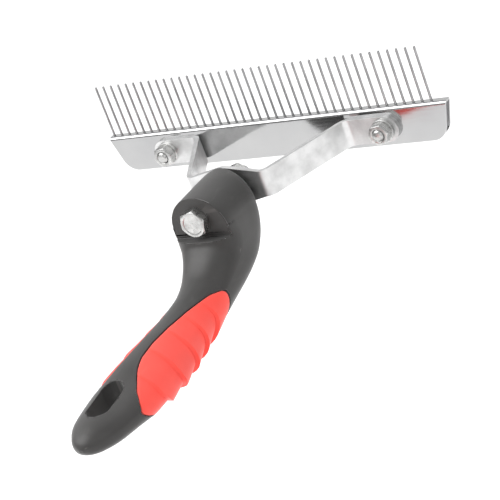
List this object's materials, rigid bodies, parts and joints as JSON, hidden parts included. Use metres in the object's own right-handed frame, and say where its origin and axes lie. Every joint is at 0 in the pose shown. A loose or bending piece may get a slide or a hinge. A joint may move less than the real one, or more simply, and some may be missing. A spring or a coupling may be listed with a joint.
{
  "type": "dematting comb",
  "caption": "Wide pet comb: a row of long steel pins in a folded steel head, carried by a bent strap that is bolted to a curved two-colour handle with a hanging hole.",
  "frame": {"origin": "middle of the lower edge of the head's front wall, halfway along the head", "axes": "+X along the row of pins, +Y from the handle towards the head, +Z the way the pins point"},
  "size_m": [0.206, 0.2288, 0.0917],
  "materials": {
    "polished_sheet": "polished",
    "plain_bar": "plain",
    "plated_strap": "bright plated",
    "pin_steel": "polished",
    "zinc_plated": "zinc plated",
    "spring_steel": "plated",
    "soft_black": "soft touch",
    "soft_red": "matt"
  },
  "bodies": {
    "handle": {"handle_core": "soft_black", "grip_cover": "soft_red", "pivot_sleeve": "plain_bar", "pivot_bolt": "zinc_plated", "thrust_washer": "zinc_plated", "bolt_nut_washer": "zinc_plated", "spring_washer": "spring_steel", "pivot_nut": "zinc_plated"},
    "head": {"comb_channel": "polished_sheet", "backing_bar": "plain_bar", "bracket_strap": "plated_strap", "left_screw": "zinc_plated", "left_screw_washer": "zinc_plated", "left_screw_nut": "zinc_plated", "right_screw": "zinc_plated", "right_screw_washer": "zinc_plated", "right_screw_nut": "zinc_plated", "pin_01": "pin_steel", "pin_02": "pin_steel", "pin_03": "pin_steel", "pin_04": "pin_steel", "pin_05": "pin_steel", "pin_06": "pin_steel", "pin_07": "pin_steel", "pin_08": "pin_steel", "pin_09": "pin_steel", "pin_10": "pin_steel", "pin_11": "pin_steel", "pin_12": "pin_steel", "pin_13": "pin_steel", "pin_14": "pin_steel", "pin_15": "pin_steel", "pin_16": "pin_steel", "pin_17": "pin_steel", "pin_18": "pin_steel", "pin_19": "pin_steel", "pin_20": "pin_steel", "pin_21": "pin_steel", "pin_22": "pin_steel", "pin_23": "pin_steel", "pin_24": "pin_steel", "pin_25": "pin_steel", "pin_26": "pin_steel", "pin_27": "pin_steel", "pin_28": "pin_steel", "pin_29": "pin_steel", "pin_30": "pin_steel", "pin_31": "pin_steel", "pin_32": "pin_steel", "pin_33": "pin_steel", "pin_34": "pin_steel", "pin_35": "pin_steel", "pin_36": "pin_steel", "pin_37": "pin_steel", "pin_38": "pin_steel", "pin_39": "pin_steel", "pin_40": "pin_steel"}
  },
  "joints": [
    {"name": "head_swivel", "type": "hinge", "parent": "handle", "child": "head", "pos_m": [0, -0.0498, 0.0098], "axis": [0, 1, 0], "continuous": true}
  ]
}
